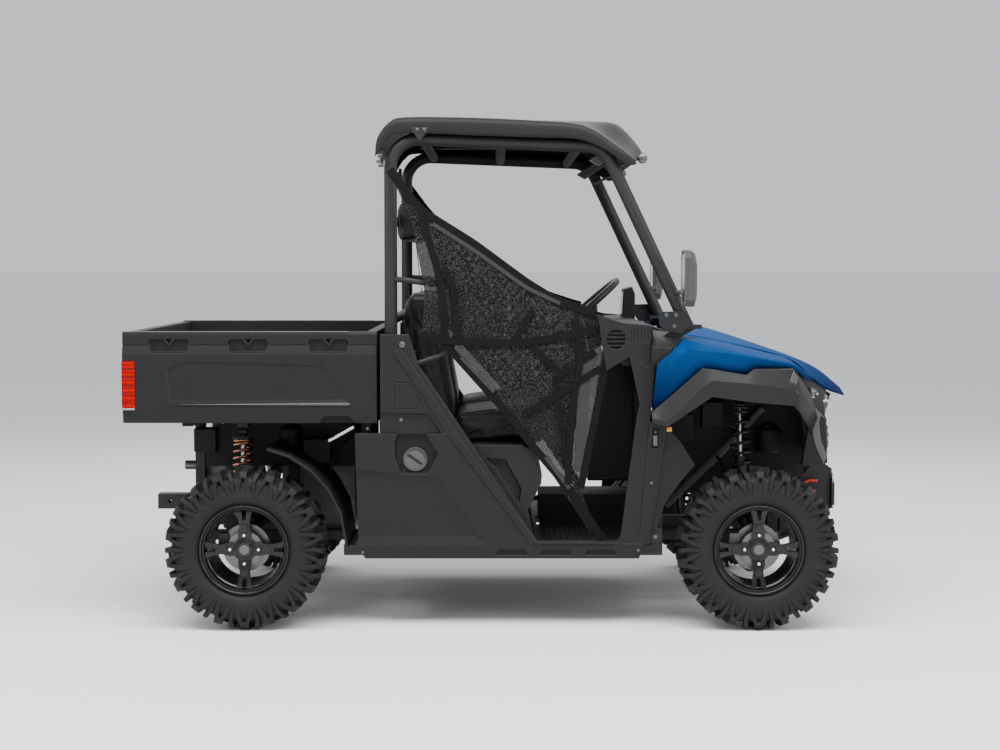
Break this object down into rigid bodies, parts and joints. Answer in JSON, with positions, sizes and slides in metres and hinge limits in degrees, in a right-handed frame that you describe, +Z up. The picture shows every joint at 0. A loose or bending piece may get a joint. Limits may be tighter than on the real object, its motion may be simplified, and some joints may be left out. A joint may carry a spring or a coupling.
{
  "type": "side by side utility vehicle",
  "caption": "Two-seat side by side utility vehicle with roll cage, roof, side nets, steered front wheels and a tipping cargo bed with a drop tailgate.",
  "frame": {"origin": "on the ground, in the middle of the vehicle's length and width", "axes": "+X forward, +Y to the vehicle's left, +Z up"},
  "size_m": [2.845, 1.57, 1.969],
  "materials": {
    "tyre_rubber": "matt rubber",
    "wheel_black": "satin black paint",
    "frame_black": "satin powder coat",
    "cage_black": "satin powder coat",
    "bright_steel": "machined",
    "cast_grey": "as cast",
    "alloy": "as cast",
    "spring_black": "satin paint",
    "grey_plastic": "fine grain moulding",
    "black_plastic": "grained moulding",
    "blue_paint": "gloss",
    "seat_cover": "grained vinyl",
    "net_fabric": "woven",
    "lamp_red": "clear red lens",
    "lamp_clear": "clear lens",
    "boot_rubber": "matt"
  },
  "bodies": {
    "chassis": {"column_bearing": "frame_black", "cowl_brackets": "frame_black", "dampers": "bright_steel", "dashboard": "grey_plastic", "door_surrounds": "grey_plastic", "driver_controls": "black_plastic", "engine": "cast_grey", "fender_flares": "grey_plastic", "floor_tub": "black_plastic", "front_arms": "frame_black", "front_bumper": "frame_black", "front_fascia": "black_plastic", "front_fenders": "blue_paint", "fuel_cap": "alloy", "gear_cases": "cast_grey", "half_shafts": "boot_rubber", "headlamps": "lamp_clear", "headrests": "seat_cover", "hitch": "frame_black", "hood": "blue_paint", "main_frame": "frame_black", "mirrors": "black_plastic", "muffler": "alloy", "rear_liners": "black_plastic", "rear_suspension": "frame_black", "roll_cage": "cage_black", "roof": "black_plastic", "seat_backs": "seat_cover", "seat_base": "black_plastic", "seat_cushions": "seat_cover", "side_guards": "cage_black", "side_nets": "net_fabric", "side_panels": "grey_plastic", "springs": "spring_black"},
    "knuckle_right": {"knuckle_right": "cast_grey"},
    "knuckle_left": {"knuckle_left": "cast_grey"},
    "steering_rack": {"steering_rack": "bright_steel"},
    "steering_wheel": {"steering_wheel": "black_plastic"},
    "cargo_bed": {"cargo_bed": "black_plastic", "tail_lamps": "lamp_red"},
    "tailgate": {"tailgate": "black_plastic"},
    "wheel_front_right": {"tyre_front_right": "tyre_rubber", "rim_front_right": "wheel_black", "hub_front_right": "bright_steel"},
    "wheel_front_left": {"tyre_front_left": "tyre_rubber", "rim_front_left": "wheel_black", "hub_front_left": "bright_steel"},
    "wheel_rear_right": {"tyre_rear_right": "tyre_rubber", "rim_rear_right": "wheel_black", "hub_rear_right": "bright_steel"},
    "wheel_rear_left": {"tyre_rear_left": "tyre_rubber", "rim_rear_left": "wheel_black", "hub_rear_left": "bright_steel"}
  },
  "joints": [
    {"name": "steer_right", "type": "hinge", "parent": "chassis", "child": "knuckle_right", "pos_m": [1.016, -0.6025, 0.311], "axis": [0, 0, 1], "range_deg": [-30, 30]},
    {"name": "steer_left", "type": "hinge", "parent": "chassis", "child": "knuckle_left", "pos_m": [1.016, 0.6025, 0.311], "axis": [0, 0, 1], "range_deg": [-30, 30]},
    {"name": "steering_wheel_turn", "type": "hinge", "parent": "chassis", "child": "steering_wheel", "pos_m": [0.404, 0.2995, 1.21], "axis": [-0.6561, 0, 0.7547], "range_deg": [-270, 270]},
    {"name": "rack_slide", "type": "slide", "parent": "chassis", "child": "steering_rack", "axis": [0, 1, 0], "range_m": [-0.04, 0.04]},
    {"name": "spin_front_right", "type": "hinge", "parent": "knuckle_right", "child": "wheel_front_right", "pos_m": [1.016, -0.6825, 0.311], "axis": [0, 1, 0], "continuous": true},
    {"name": "spin_front_left", "type": "hinge", "parent": "knuckle_left", "child": "wheel_front_left", "pos_m": [1.016, 0.6825, 0.311], "axis": [0, 1, 0], "continuous": true},
    {"name": "spin_rear_right", "type": "hinge", "parent": "chassis", "child": "wheel_rear_right", "pos_m": [-0.948, -0.658, 0.311], "axis": [0, 1, 0], "continuous": true},
    {"name": "spin_rear_left", "type": "hinge", "parent": "chassis", "child": "wheel_rear_left", "pos_m": [-0.948, 0.658, 0.311], "axis": [0, 1, 0], "continuous": true},
    {"name": "bed_tilt", "type": "hinge", "parent": "chassis", "child": "cargo_bed", "pos_m": [-1.24, 0, 0.762], "axis": [0, -1, 0], "range_deg": [0, 45]},
    {"name": "tailgate_drop", "type": "hinge", "parent": "cargo_bed", "child": "tailgate", "pos_m": [-1.4025, 0, 0.825], "axis": [0, -1, 0], "range_deg": [0, 90]}
  ],
  "couplings": [
    {"joint": "steer_left", "follows": "steer_right", "ratio": 1},
    {"joint": "steering_wheel_turn", "follows": "steer_right", "ratio": 9},
    {"joint": "rack_slide", "follows": "steer_right", "m_per_rad": 0.076203}
  ]
}
